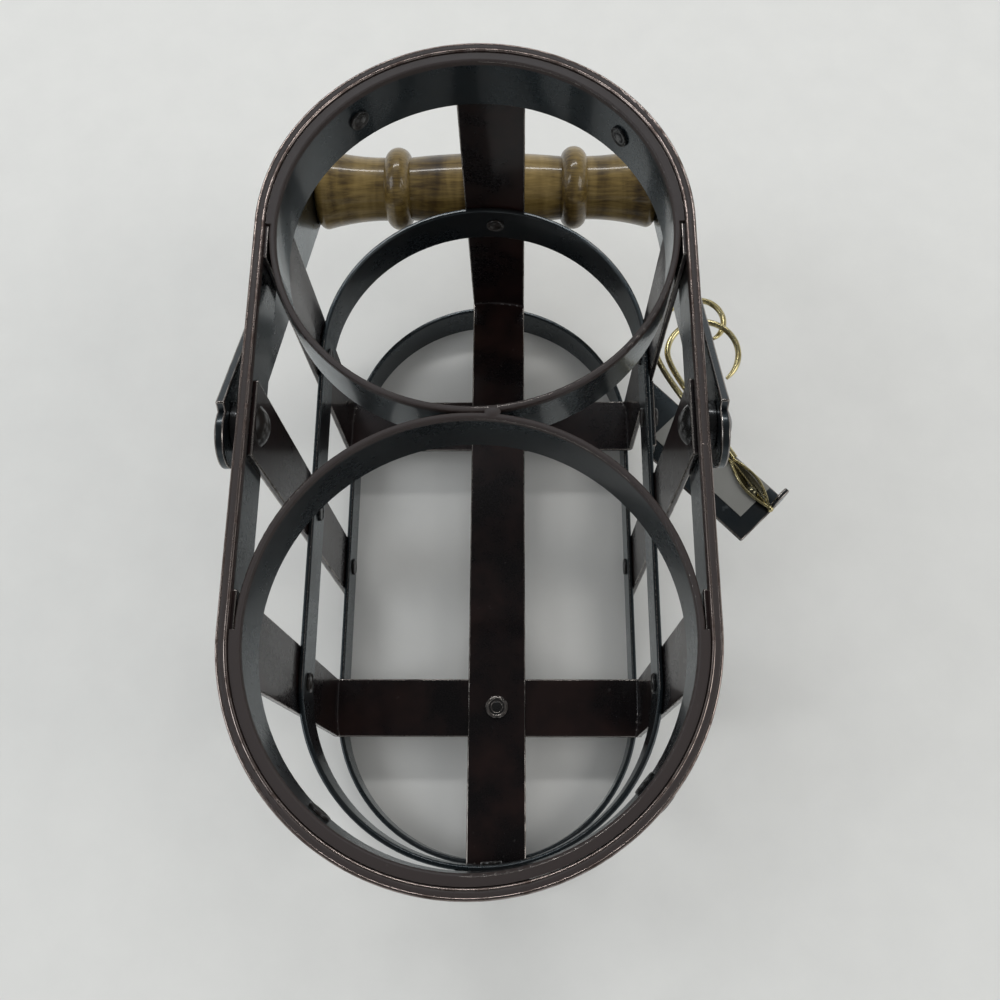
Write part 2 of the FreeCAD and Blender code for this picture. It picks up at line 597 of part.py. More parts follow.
def pivots():
    """A headed pivot on each side, with a spacer that keeps the bail clear of the band."""
    for side, place in PIVOT_PLACES.items():
        finish(rivet(f"pivot_{side}", place, "pivot", "pivot_grip"), f"pivot_rivet_{side}")
        seat = lifted(place, value("two_layers"))
        collar = cylinder(f"spacer_{side}_collar", "Sizes.spacer_width / 2", "Sizes.spacer_length", seat)
        hole = cylinder(f"spacer_{side}_hole", "Sizes.pivot_shank / 2 + Sizes.rivet_play",
                        "Sizes.spacer_length", seat)
        finish(cut(f"spacer_{side}", collar, hole), f"pivot_spacer_{side}")


# Bail

HANG = Placement(Vector(0, 0, PIVOT_LEVEL), Rotation(Vector(1, 0, 0), -value("hang_turn")))
ACROSS = Rotation(Vector(0, 1, 0), 90)


def hung(across, along, turn=Rotation()):
    """A place on the hanging bail: across the caddy and along the arms from the pivot."""
    return HANG * Placement(Vector(across, along, 0), turn)


def bail_arm(side, sign):
    """A flat arm with square shoulders, a round ear at its pivot and a round end on the grip."""
    inner = value("arm_inner") if sign > 0 else -value("arm_outer")
    name = f"arm_{side}"
    plate = doc.addObject("Part::Box", f"{name}_plate")
    tie(plate, Length="Sizes.arm_thickness", Width="Worked.arm_length", Height="Sizes.arm_width")
    corner = Vector(inner, -value("arm_shoulder"), -value("arm_width") / 2)
    plate.Placement = HANG * Placement(corner, Rotation())
    ear = cylinder(f"{name}_ear", "Sizes.ear_radius", "Sizes.arm_thickness",
                   hung(inner, -value("arm_shoulder"), ACROSS))
    tip = cylinder(f"{name}_tip", "Sizes.arm_width / 2", "Sizes.arm_thickness",
                   hung(inner, value("bail_radius"), ACROSS))
    holes = group(f"{name}_holes", [
        cylinder(f"{name}_pivot_hole", "Sizes.pivot_shank / 2 + Sizes.pivot_play", "Sizes.arm_thickness",
                 hung(inner, 0, ACROSS)),
        cylinder(f"{name}_screw_hole", "Sizes.screw_shank / 2 + Sizes.rivet_play", "Sizes.arm_thickness",
                 hung(inner, value("bail_radius"), ACROSS))])
    finish(cut(name, fuse(f"{name}_blank", [plate, ear, tip]), holes), f"bail_arm_{side}")


def arc(centre, start, finish_point):
    """A counter-clockwise arc about a centre between two points."""
    centre, start, finish_point = (Vector(*point, 0) for point in (centre, start, finish_point))
    circle = Part.Circle(centre, UP, (start - centre).Length)
    turns = [math.atan2(point.y - centre.y, point.x - centre.x) for point in (start, finish_point)]
    return Part.ArcOfCircle(circle, *turns)


def grip_profile(sketch):
    """Half of the turned outline: barrel, bead, neck, rounded end, end face, axis and middle."""
    top, groove, flare = (value(name) / 2 for name in ("barrel_width", "groove_width", "flare_width"))
    start, past = value("ball_start"), value("ball_finish")
    edge, rounding = value("flare_start"), value("flare_round")
    end, high = edge + rounding, groove + value("ball_sag")
    swell = (start ** 2 + (top - groove) ** 2) / (2 * (top - groove))
    sweep = ((edge - past) ** 2 + (flare - groove) ** 2) / (2 * (flare - groove))
    lines = [Part.LineSegment(Vector(*one, 0), Vector(*two, 0))
             for one, two in (((end, flare - rounding), (end, 0)), ((end, 0), (0, 0)), ((0, 0), (0, top)))]
    barrel, ball, neck, corner, face, axis, middle = sketch.addGeometry([
        arc((0, top - swell), (start, groove), (0, top)),
        arc((value("ball_place"), high - value("ball_round")), (past, groove), (start, groove)),
        arc((past, groove + sweep), (past, groove), (edge, flare)),
        arc((edge, flare - rounding), (end, flare - rounding), (edge, flare)), *lines], False)
    for one, two in (((barrel, 1), (ball, 2)), ((ball, 1), (neck, 1)), ((neck, 2), (corner, 2)),
                     ((corner, 1), (face, 1)), ((face, 2), (axis, 1)), ((axis, 2), (middle, 1)),
                     ((middle, 2), (barrel, 2)), ((axis, 2), (-1, 1))):
        sketch.addConstraint(Sketcher.Constraint("Coincident", *one, *two))
    for rule in (("PointOnObject", axis, 1, -1), ("PointOnObject", barrel, 3, -2), ("Vertical", face),
                 ("Vertical", middle), ("Vertical", neck, 1, neck, 3), ("Vertical", corner, 2, corner, 3),
                 ("Horizontal", corner, 1, corner, 3)):
        sketch.addConstraint(Sketcher.Constraint(*rule))
    limit(sketch, "barrel_top", "Sizes.barrel_width / 2", "DistanceY", -1, 1, barrel, 2, top)
    limit(sketch, "groove_x", "Worked.ball_start", "DistanceX", -1, 1, barrel, 1, start)
    limit(sketch, "groove_y", "Sizes.groove_width / 2", "DistanceY", -1, 1, barrel, 1, groove)
    limit(sketch, "neck_x", "Worked.ball_finish", "DistanceX", -1, 1, ball, 1, past)
    limit(sketch, "neck_y", "Sizes.groove_width / 2", "DistanceY", -1, 1, ball, 1, groove)
    limit(sketch, "ball_size", "Worked.ball_round", "Radius", ball, value("ball_round"))
    limit(sketch, "flare_x", "Worked.flare_start", "DistanceX", -1, 1, neck, 2, edge)
    limit(sketch, "flare_y", "Sizes.flare_width / 2", "DistanceY", -1, 1, neck, 2, flare)
    limit(sketch, "corner_size", "Sizes.flare_round", "Radius", corner, rounding)


def turned_grip():
    """The turned wooden grip, bored at both ends for its screws."""
    body = doc.addObject("PartDesign::Body", "grip_blank")
    sketch = new_sketch(body, "grip_outline")
    grip_profile(sketch)
    half = body.newObject("PartDesign::Revolution", "grip_half")
    half.Profile = sketch
    half.ReferenceAxis = (sketch, ["H_Axis"])
    half.Angle = 360
    whole = body.newObject("PartDesign::Mirrored", "grip_whole")
    whole.Originals = [half]
    whole.MirrorPlane = (plane_of(body, "YZ_Plane"), [""])
    body.Tip = whole
    body.Placement = hung(0, value("bail_radius"))
    holes = []
    for side, sign in SIDES:
        mouth = hung(sign * value("half_grip"), value("bail_radius"), Rotation(Vector(0, 1, 0), -sign * 90))
        holes.append(cylinder(f"grip_hole_{side}", "Sizes.screw_shank / 2 + Sizes.rivet_play",
                              "Sizes.screw_depth", mouth))
    finish(cut("grip_bored", body, group("grip_holes", holes)), "grip")


def grip_screw(side, sign):
    """A domed screw through the arm into the wood."""
    name = f"screw_{side}"
    face = hung(sign * value("arm_outer"), value("bail_radius"), Rotation(Vector(0, 1, 0), sign * 90))
    shank = cylinder(f"{name}_shank", "Sizes.screw_shank / 2", "Sizes.screw_depth + Sizes.arm_thickness",
                     turned_over(face))
    finish(fuse(name, [shank, dome(f"{name}_head", "screw", face)]), f"grip_screw_{side}")


# Ornament

# The bracket's own directions: along its far edge from the root, away from it, and up from its top
BRACKET = Placement(Vector(value("riser_outer"), value("bracket_root"), value("bracket_level")),
                    Rotation(UP, -value("bracket_turn")))
LEAF = BRACKET * Placement(Vector(value("bracket_reach") - value("leaf_back"), -value("leaf_aside"), 0),
                           Rotation(UP, -value("leaf_turn")))
WIRE_LEVEL = value("wire_width") / 2 + value("wire_seat")
PIN_PLACE = LEAF * Placement(Vector(value("leaf_length") / 2, 0, -value("sheet")), Rotation())
PIN_HOLE = cylinder("pin_hole", "Sizes.pin_shank / 2 + Sizes.rivet_play", "Worked.pin_grip", PIN_PLACE)


def bracket():
    """A strap bracket: a flange on the middle hoop, a slanting strip and a turned-up tab."""
    slabs = []
    for name, start, length, width, height in (
            ("strip", 0, "bracket_reach", "strap_width", "Sizes.sheet"),
            ("tab", value("bracket_reach") - value("sheet"), "sheet", "tab_width",
             "Sizes.tab_height + Sizes.sheet")):
        slab = doc.addObject("Part::Box", f"bracket_{name}")
        tie(slab, Length=cell(length), Width=cell(width), Height=height)
        slab.Placement = BRACKET * Placement(Vector(start, -value(width), -value("sheet")), Rotation())
        slabs.append(slab)
    strip, tab = slabs
    inside = box("bracket_inside", ("Worked.body_width", "Worked.body_length", "Sizes.rim_height"),
                 ("Worked.riser_outer - Worked.body_width", "-Worked.body_length / 2", "0"))
    flange = box("bracket_flange",
                 ("Sizes.sheet", "Worked.flange_end - Worked.flange_start",
                  "Worked.flange_height + Sizes.sheet"),
                 ("Worked.ring_outer", "Worked.flange_start", "Worked.bracket_level - Sizes.sheet"))
    blank = fuse("bracket_blank", [cut("bracket_mitred", strip, inside), tab, flange])
    holes = group("bracket_holes", [DRILLS, PIN_HOLE])
    finish(cut("bracket_drilled", blank, holes), "ornament_bracket")


def hook_place(name, side):
    """Where a hook leaves the leaf's root: its local X runs along the wire, and the hook turns to -Y.

    Gives the place and the length of the straight run from there to the hook.
    """
    root = LEAF.multVec(Vector(0, side * (value("wire_width") + value("wire_gap")) / 2, WIRE_LEVEL))
    middle = BRACKET.multVec(Vector(value(f"{name}_along"), value(f"{name}_out"), WIRE_LEVEL))
    away = middle - root
    heading = math.atan2(away.y, away.x) + math.asin(value(f"{name}_radius") / away.Length)
    place = Placement(root, Rotation(UP, math.degrees(heading)))
    tilt = Rotation(Vector(1, 0, 0), -side * value("hook_tilt"))
    return place * Placement(Vector(), tilt), math.sqrt(away.Length ** 2 - value(f"{name}_radius") ** 2)


# The two hooks, with the side of the leaf's root on which each one starts
HOOKS = (("near", 1), ("far", -1))


def leaf():
    """A dished leaf with two stems at its root and a ball at its tip, held by one small rivet."""
    def prism(name, radius, height, level):
        middle = value("leaf_length") / 2
        sides = [cylinder(f"{name}_{number}", radius, height,
                          LEAF * Placement(Vector(middle, side * value("leaf_offset"), level), Rotation()))
                 for number, side in enumerate(BOTH, start=1)]
        return common(name, *sides)

    dish = cut("leaf_dish", prism("leaf_outside", "Worked.leaf_round", "Sizes.leaf_height", 0),
               prism("leaf_inside", "Worked.leaf_round - Sizes.leaf_wall", "Sizes.leaf_height",
                     value("leaf_floor")))
    stems = []
    for hook, side in HOOKS:
        place, _ = hook_place(hook, side)
        back = place * Placement(Vector(-value("stem_length"), 0, 0), Rotation(Vector(0, 1, 0), 90))
        stems.append(cylinder(f"leaf_stem_{hook}", "Sizes.wire_width / 2", "2 * Sizes.stem_length", back))
    ball = doc.addObject("Part::Sphere", "leaf_tip")
    tie(ball, Radius="Sizes.leaf_ball / 2")
    ball.Placement = LEAF * Placement(Vector(value("leaf_length"), 0, value("leaf_ball") / 2), Rotation())
    finish(cut("leaf_drilled", fuse("leaf_whole", [dish, *stems, ball]), PIN_HOLE), "ornament_leaf")
    finish(rivet("pin", PIN_PLACE, "pin", "pin_grip"), "leaf_rivet")


def bend(start, heading, radius, turn):
    """A clockwise arc in the XY plane from a point and a heading; gives the arc and where it ends."""
    def spot(angle):
        side = heading - angle + math.pi / 2
        return centre + Vector(math.cos(side), math.sin(side), 0) * radius

    centre = start + Vector(math.sin(heading), -math.cos(heading), 0) * radius
    curve = Part.Arc(start, spot(turn / 2), spot(turn)).toShape()
    return curve, spot(turn), heading - turn


def hook(name, side, bends):
    """One wire of the tendril: a straight run from the leaf's stem, then its bends."""
    place, run = hook_place(name, side)
    begin, end, heading = Vector(value("stem_length"), 0, 0), Vector(run, 0, 0), 0
    edges = [Part.LineSegment(begin, end).toShape()]
    for radius, turn in bends:
        curve, end, heading = bend(end, heading, value(radius), math.radians(value(turn)))
        edges.append(curve)
    path = Part.Wire(edges)
    section = Part.Wire(Part.makeCircle(value("wire_width") / 2, begin, Vector(1, 0, 0)))
    wire = doc.addObject("Part::Feature", f"hook_{name}")
    wire.Shape = path.makePipeShell([section], True, False)
    wire.Placement = place
    return wire


def tendril():
    """Two wires that leave the leaf's root side by side and bend round into hooks."""
    (near, near_side), (far, far_side) = HOOKS
    wires = [hook(near, near_side, [("near_radius", "near_turn")]),
             hook(far, far_side, [("far_radius", "far_turn"), ("curl_radius", "curl_turn")])]
    finish(group("tendril", wires), "ornament_tendril")
    one, two = (wire.Shape for wire in wires)
    print(f"tendril: gap between its wires {one.distToShape(two)[0]:.2f} mm")


def check():
    """Stops if an object failed or a piece is not a sound solid."""
    doc.recompute()
    failed = [thing.Label for thing in doc.Objects if {"Invalid", "Error"} & set(thing.State)]
    failed += [piece.Label for piece in PIECES
               if piece.Shape.isNull() or not piece.Shape.isValid() or not piece.Shape.Solids]
    if failed:
        raise RuntimeError(f"not built: {failed}")


top_band()
ring_weld([bottle_ring(1, "bottle_ring_far"), bottle_ring(-1, "bottle_ring_near")])
plain_hoop("mid_hoop", "Worked.mid_level", "Sizes.mid_hoop_height", value("mid_hoop_top"))
plain_hoop("foot_hoop", "0", "Sizes.foot_height", value("foot_height"))
straps()
middle_risers()
strap_rivets()
tube_rivets()
pivots()
for side, sign in SIDES:
    bail_arm(side, sign)
    grip_screw(side, sign)
turned_grip()
bracket()
leaf()
tendril()
check()
os.makedirs("parts", exist_ok=True)
for piece in PIECES:
    piece.Shape.exportStep(f"parts/{piece.Label}.step")
    print(f"{piece.Label}: {len(piece.Shape.Solids)} solids, {piece.Shape.Volume:.0f} mm3")
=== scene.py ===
"""Looks of the riveted two-bottle caddy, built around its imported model."""
import bmesh
import bpy
import json
import math
from mathutils import Matrix, Vector


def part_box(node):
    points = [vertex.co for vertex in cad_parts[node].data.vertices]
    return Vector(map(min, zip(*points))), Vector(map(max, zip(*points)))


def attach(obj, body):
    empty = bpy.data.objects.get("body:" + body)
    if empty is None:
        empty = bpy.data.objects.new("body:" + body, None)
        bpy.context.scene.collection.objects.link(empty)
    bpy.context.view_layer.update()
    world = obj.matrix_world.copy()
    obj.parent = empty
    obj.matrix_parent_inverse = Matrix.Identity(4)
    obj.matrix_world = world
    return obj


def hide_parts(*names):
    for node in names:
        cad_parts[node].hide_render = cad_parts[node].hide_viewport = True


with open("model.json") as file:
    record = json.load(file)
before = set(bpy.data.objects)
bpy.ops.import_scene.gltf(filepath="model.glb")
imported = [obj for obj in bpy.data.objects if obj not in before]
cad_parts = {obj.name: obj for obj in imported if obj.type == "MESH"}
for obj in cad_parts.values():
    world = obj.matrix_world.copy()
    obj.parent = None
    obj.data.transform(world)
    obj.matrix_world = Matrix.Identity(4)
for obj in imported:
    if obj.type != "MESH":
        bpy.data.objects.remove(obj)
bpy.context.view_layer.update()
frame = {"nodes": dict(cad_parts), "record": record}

MM = 0.001
BOTH = (1, -1)
UP = Vector((0, 0, 1))

# The caddy's own middle, its levels and its radii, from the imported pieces
HOOP_LOW, HOOP_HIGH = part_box("mid_hoop")
MIDDLE = Vector(((HOOP_LOW.x + HOOP_HIGH.x) / 2, (HOOP_LOW.y + HOOP_HIGH.y) / 2, 0))
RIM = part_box("top_band")[1].z
SHEET = 1.5 * MM
HOOP_OUTER = (HOOP_HIGH.x - HOOP_LOW.x) / 2
HOOP_INNER = HOOP_OUTER - SHEET
END = (HOOP_HIGH.y - HOOP_LOW.y) / 2 - HOOP_OUTER
RIM_OUTER = (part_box("top_band")[1].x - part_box("top_band")[0].x) / 2

# Camera: where it stands from the caddy's middle and rim, and how it is turned
CAMERA_PLACE = Vector((10.33, -87.68, 200.47)) * MM
CAMERA_TURN = (0.3241, 0.0191, 0.0041)
SENSOR = 36
LENS = 36.515


# Materials

class Term:
    """A number that changes over a surface: a node's output that takes part in sums."""

    def __init__(self, finish, socket):
        self.finish, self.socket = finish, socket

    def sum(self, operation, *terms):
        """A Math node on some terms."""
        return self.finish.node("ShaderNodeMath", {"operation": operation}, dict(enumerate(terms)))

    def __add__(self, other):
        return self.sum("ADD", self, other)

    def __radd__(self, other):
        return self.sum("ADD", other, self)

    def __sub__(self, other):
        return self.sum("SUBTRACT", self, other)

    def __rsub__(self, other):
        return self.sum("SUBTRACT", other, self)

    def __mul__(self, other):
        return self.sum("MULTIPLY", self, other)

    def __rmul__(self, other):
        return self.sum("MULTIPLY", other, self)

    def above(self, edge, softness):
        """0 below an edge and 1 above it, over a soft step."""
        return self.finish.node("ShaderNodeMapRange", {"interpolation_type": "SMOOTHSTEP"},
                                {"Value": self, "From Min": edge - softness, "From Max": edge + softness})


class Finish:
    """A material, or the light all round, made of nodes around one shader."""

    def __init__(self, holder, shader="Principled BSDF", **constants):
        self.material = holder
        holder.use_nodes = True
        self.tree = holder.node_tree
        self.shader = self.tree.nodes[shader]
        self.set(**constants)

    def node(self, kind, settings=None, sockets=None, output=0):
        """A node of a kind: its settings first, then the values or links of its sockets."""
        made = self.tree.nodes.new(kind)
        for name, value in (settings or {}).items():
            if name == "stops":
                self.colour_stops(made.color_ramp, value)
            else:
                setattr(made, name, value)
        for name, value in (sockets or {}).items():
            self.feed(made.inputs[name], value)
        return Term(self, made.outputs[output])

    @staticmethod
    def colour_stops(ramp, stops):
        """Sets a ramp's places and colours."""
        while len(ramp.elements) < len(stops):
            ramp.elements.new(1)
        for element, (place, colour) in zip(ramp.elements, stops):
            element.position = place
            element.color = (*colour, 1)

    def feed(self, socket, value):
        """Links a term to a socket, or sets the socket's value."""
        if isinstance(value, Term):
            self.tree.links.new(value.socket, socket)
        else:
            socket.default_value = value

    def set(self, **sockets):
        """Feeds the shader's own sockets."""
        for name, value in sockets.items():
            self.feed(self.shader.inputs[name.replace("_", " ")], value)

    def place(self, scale=(1, 1, 1), shift=(0, 0, 0)):
        """Where a point lies on the object, stretched and shifted."""
        spot = self.node("ShaderNodeTexCoord", output="Object")
        return self.node("ShaderNodeMapping", None, {"Vector": spot, "Scale": scale, "Location": shift})

    def noise(self, place, scale, detail=3.0, roughness=0.5, distortion=0.0):
        """A soft random pattern."""
        return self.node("ShaderNodeTexNoise", None,
                         {"Vector": place, "Scale": scale, "Detail": detail, "Roughness": roughness,
                          "Distortion": distortion})

    def blend(self, amount, one, two):
        """A mix of two colours."""
        return self.node("ShaderNodeMix", {"data_type": "RGBA"}, {"Factor": amount, 6: one, 7: two}, 2)

    def ramp(self, amount, stops):
        """A colour from a row of stops."""
        return self.node("ShaderNodeValToRGB", {"stops": stops}, {"Fac": amount})

    def level(self):
        """How high a point lies."""
        return self.node("ShaderNodeSeparateXYZ", None, {"Vector": self.place()}, "Z")

    def bump(self, height, strength, distance):
        """A relief on the surface."""
        self.set(Normal=self.node("ShaderNodeBump", None,
                                  {"Height": height, "Strength": strength, "Distance": distance}))


# Paint, lacquer and metal: colours, gleams, and how large and strong their patterns are

# Painted reflection: DARK's bluish cast and the cool gleam stand for a cool room mirrored in the gloss over
# brown paint
DARK, WARM, COPPER = (0.004, 0.0058, 0.007), (0.008, 0.007, 0.0068), (0.032, 0.021, 0.018)
STRAP_DARK, STRAP_WARM = (0.005, 0.0034, 0.0036), (0.018, 0.008, 0.0066)
RIVET_DARK, RIVET_WARM = (0.008, 0.0075, 0.007), (0.02, 0.015, 0.012)
PAINTED_COOL_REFLECTION, PLAIN_GLEAM, DIM_GLEAM = (0.8, 0.93, 1.0, 1), (0.94, 0.97, 1.0, 1), (0.6, 0.6, 0.62, 1)
DUST = (0.2, 0.19, 0.18, 1)
DUST_SHIFT = (0.3, 0.1, 0.7)
COAT, PAINT_ROUGH = 0.4, 0.27
MOTTLE_SCALE, GRAIN_SCALE, DUST_SCALE, RIPPLE_SCALE = 55, 900, 420, 160
BEAD_WIDTH, BEAD_HEIGHT = 2.5 * MM, 2.2 * MM
WOOD_TONES = ((0.4, (0.022, 0.012, 0.004)), (0.52, (0.07, 0.043, 0.0115)),
              (0.63, (0.15, 0.1, 0.028)), (0.78, (0.25, 0.172, 0.057)))
LINE_SCALE, FIBRE_SCALE, FIGURE_SCALE = 900, 2600, 130
STAIN_SCALE, SCRATCH_SCALE = 240, 700
# Painted glare: the pale plate's tones stand for light reflected off the bracket's dark top
GLARE_DARK, GLARE_PALE = (0.165, 0.165, 0.15, 1), (0.205, 0.205, 0.19, 1)


def material(name):
    """A new material."""
    return bpy.data.materials.new(name)


def paint_finish(name, dark, warm, gleam, rim=None):
    """Glossy dark paint with a warm mottle, fine grain and dust, and a warmer rim where there is one; its
    gleam colour tints the reflections, and a cool gleam is a painted reflection of a cool room.
    """
    finish = Finish(material(name), Coat_Weight=COAT, Coat_Roughness=0.1, IOR=1.45, Specular_Tint=gleam,
                    Coat_Tint=gleam)
    spot = finish.place()
    mottle = finish.noise(spot, MOTTLE_SCALE, 4, 0.6).above(0.52, 0.16)
    grain = finish.noise(spot, GRAIN_SCALE, 2, 0.5)
    dust = finish.noise(finish.place(shift=DUST_SHIFT), DUST_SCALE, 2, 0.6).above(0.75, 0.05)
    colour = finish.blend(mottle, (*dark, 1), (*warm, 1))
    rough = PAINT_ROUGH + mottle * 0.04 + dust * 0.2 + (grain - 0.5) * 0.06
    if rim:
        bead = finish.level().above(RIM - BEAD_HEIGHT, 0.3 * MM)
        colour = finish.blend(bead, colour, (*rim, 1))
        rough = rough + bead * 0.25
        finish.set(Coat_Weight=COAT - bead * COAT)
    finish.set(Base_Color=finish.blend(dust * 0.1, colour, DUST), Roughness=rough)
    finish.bump(finish.noise(spot, RIPPLE_SCALE, 3, 0.55), 0.035, 0.4 * MM)
    return finish.material


def wood_finish():
    """Lacquered turned wood: fine lines along the grip and darker bands across it."""
    finish = Finish(material("turned_wood_lacquer"), Coat_Weight=0.5, Coat_Roughness=0.06, IOR=1.4)
    lines = finish.noise(finish.place(scale=(0.09, 1, 1)), LINE_SCALE, 4, 0.65, 0.4)
    fibre = finish.noise(finish.place(scale=(0.04, 1, 1)), FIBRE_SCALE, 2, 0.6)
    figure = finish.noise(finish.place(scale=(1, 0.18, 0.18)), FIGURE_SCALE, 3, 0.55, 0.3)
    tone = lines * 0.42 + figure * 0.68 + fibre * 0.12
    finish.set(Base_Color=finish.ramp(tone, WOOD_TONES), Roughness=0.42 - lines * 0.12)
    finish.bump(lines * 0.6 + fibre * 0.4, 0.12, 0.25 * MM)
    return finish.material


def metal_finish(name, bright, dull):
    """Bare metal with dull stains and fine scratches."""
    finish = Finish(material(name), Metallic=1.0)
    spot = finish.place()
    stain = finish.noise(spot, STAIN_SCALE, 4, 0.6).above(0.55, 0.12)
    finish.set(Base_Color=finish.blend(stain, (*bright, 1), (*dull, 1)), Roughness=0.2 + stain * 0.18)
    finish.bump(finish.noise(spot, SCRATCH_SCALE, 3, 0.5), 0.08, 0.15 * MM)
    return finish.material


def painted_glare_finish():
    """A painted glare: smooth pale grey with faint clouds, standing for light reflected off the bracket's
    dark top.
    """
    finish = Finish(material("painted_glare_grey"), Coat_Weight=0.3, Coat_Roughness=0.15)
    cloud = finish.noise(finish.place(), 120, 3, 0.5)
    finish.set(Base_Color=finish.blend(cloud, GLARE_DARK, GLARE_PALE), Roughness=0.38 + cloud * 0.1)
    return finish.material


PAINTS = {
    "hoop_paint": paint_finish("hoop_bronze_paint", DARK, WARM, PAINTED_COOL_REFLECTION),
    "band": paint_finish("band_bronze_paint", DARK, WARM, PAINTED_COOL_REFLECTION, COPPER),
    "strap_paint": paint_finish("strap_bronze_paint", STRAP_DARK, STRAP_WARM, DIM_GLEAM),
    "bail_paint": paint_finish("bail_bronze_paint", DARK, WARM, PAINTED_COOL_REFLECTION),
    "rivet_paint": paint_finish("rivet_bronze_paint", RIVET_DARK, RIVET_WARM, PLAIN_GLEAM),
    # Bright copper on the rim's ridges and seam: partly wear, partly a painted highlight along the ridges
    "rim": metal_finish("rim_copper_and_painted_highlight", (0.3, 0.25, 0.23), (0.11, 0.083, 0.073)),
    # Bright bare metal for bevelled edges: partly wear, partly a painted highlight along the edges
    "worn_edge_painted_highlight": metal_finish("worn_edge_painted_highlight", (0.32, 0.295, 0.275), (0.11, 0.097, 0.09)),
    "turned_wood": wood_finish(),
    "pale_brass": metal_finish("pale_brass_polish", (0.66, 0.58, 0.32), (0.36, 0.3, 0.14)),
    "dull_brass": metal_finish("dull_brass", (0.2, 0.185, 0.12), (0.09, 0.082, 0.05)),
    "panel": painted_glare_finish(),
}
SLOT_OF = {row["node"]: row["material_slot"] for row in frame["record"]["subparts"]}


def dress(piece, slot):
    """Gives a piece one finish all over."""
    piece.data.materials.clear()
    piece.data.materials.append(PAINTS[slot])


# Modelling

def alone(piece=None):
    """Deselects everything, and then picks one piece."""
    if bpy.context.object and bpy.context.object.mode != "OBJECT":
        bpy.ops.object.mode_set(mode="OBJECT")
    bpy.ops.object.select_all(action="DESELECT")
    if piece:
        piece.select_set(True)
        bpy.context.view_layer.objects.active = piece


def apply_modifier(piece, kind, **settings):
    """Adds a modifier to a piece and applies it."""
    alone(piece)
    modifier = piece.modifiers.new(kind.lower(), kind)
    for name, value in settings.items():
        setattr(modifier, name, value)
    bpy.ops.object.modifier_apply(modifier=modifier.name)


def whole_copy(node, name):
    """A copy of a CAD piece with its loose triangles joined into whole faces."""
    piece = bpy.data.objects.new(name, frame["nodes"][node].data.copy())
    bpy.context.collection.objects.link(piece)
    alone(piece)
    bpy.ops.object.mode_set(mode="EDIT")
    bpy.ops.mesh.select_all(action="SELECT")
    bpy.ops.mesh.remove_doubles(threshold=0.0005 * MM)
    bpy.ops.mesh.dissolve_limited(angle_limit=math.radians(0.4))
    bpy.ops.object.mode_set(mode="OBJECT")
    return piece


def added(piece, slot, finish=None):
    """A finished piece of the frame that stands beside the CAD pieces."""
    dress(piece, finish or slot)
    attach(piece, "frame")


def placed(piece, body, slot, *nodes):
    """Puts a dressed piece in the place of CAD pieces."""
    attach(piece, body)
    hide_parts(*nodes)


def stand_in(piece, body, slot, *nodes):
    """Dresses a finished piece and puts it in the place of CAD pieces."""
    dress(piece, slot)
    placed(piece, body, slot, *nodes)


def mark_outward(piece):
    """Marks the edges where a piece's faces meet in an outward corner, for a bevel."""
    shape = bmesh.new()
    shape.from_mesh(piece.data)
    mark = shape.edges.layers.float.new("bevel_weight_edge")
    for edge in shape.edges:
        edge[mark] = float(edge.is_convex and edge.calc_face_angle(0) > CORNER)
    shape.to_mesh(piece.data)
    shape.free()


def eased(node, body, ease, top=None, finish=None):
    """A CAD piece of plate with rounded edges in bright bare metal, partly wear and partly a painted
    highlight along them, and its upper ends drawn up to a level.
    """
    piece = whole_copy(node, f"{node}_eased")
    for corner in piece.data.vertices:
        if top and corner.co.z > top - RISER_REACH:
            corner.co.z = top
    dress(piece, finish or SLOT_OF[node])
    # The bevel faces get the bright edge metal, partly a painted highlight
    piece.data.materials.append(PAINTS["worn_edge_painted_highlight"])
    mark_outward(piece)
    apply_modifier(piece, "BEVEL", width=ease, segments=2, limit_method="WEIGHT", use_clamp_overlap=False,
                   material=1)
    bpy.ops.object.shade_smooth_by_angle(angle=math.radians(35))
    apply_modifier(piece, "WEIGHTED_NORMAL", keep_sharp=True, weight=100)
    placed(piece, body, SLOT_OF[node], node)


def joined(name, pieces):
    """Several pieces as one."""
    alone(pieces[0])
    for piece in pieces[1:]:
        piece.select_set(True)
    bpy.ops.object.join()
    pieces[0].name = name
    return pieces[0]


def settled(piece):
    """Moves a piece's place, turn and size into its mesh."""
    alone(piece)
    bpy.ops.object.transform_apply(location=True, rotation=True, scale=True)


def picked(piece, chosen):
    """Selects those faces of a piece that a test picks, and goes into edit mode."""
    alone(piece)
    for part in (piece.data.vertices, piece.data.edges, piece.data.polygons):
        part.foreach_set("select", [False] * len(part))
    for face in piece.data.polygons:
        face.select = chosen(face)
    bpy.ops.object.mode_set(mode="EDIT")
    bpy.ops.mesh.select_mode(type="FACE")


# Straps, arms and plates with softened edges

CORNER = math.radians(40)
EDGE = 0.4 * MM
RISER_REACH, RISER_TOP = 6 * MM, RIM - 1.2 * MM
for node in ("cross_strap_far", "cross_strap_near"):
    eased(node, "frame", EDGE, RISER_TOP)
for node in ("long_strap", "middle_riser_right", "middle_riser_left", "ornament_bracket"):
    eased(node, "frame", EDGE)
for node in ("bail_arm_right", "bail_arm_left"):
    eased(node, "bail", EDGE)
FINE_EDGE, RING_EDGE = 0.3 * MM, 0.05 * MM
for node in ("bottle_ring_far", "bottle_ring_near"):
    eased(node, "frame", RING_EDGE, finish="band")
for node in ("mid_hoop", "foot_hoop", "base_rivets"):
    eased(node, "frame", FINE_EDGE)


# Rim: two fine ridges along the top of the rolled bead, with a groove between them, in bright copper that
# is partly wear and partly a painted highlight

RIDGE, RIDGE_INSET = 0.42 * MM, 0.05 * MM
ROUND_STEPS = 144
SEAM, SEAM_ALONG = 0.5 * MM, -8 * MM


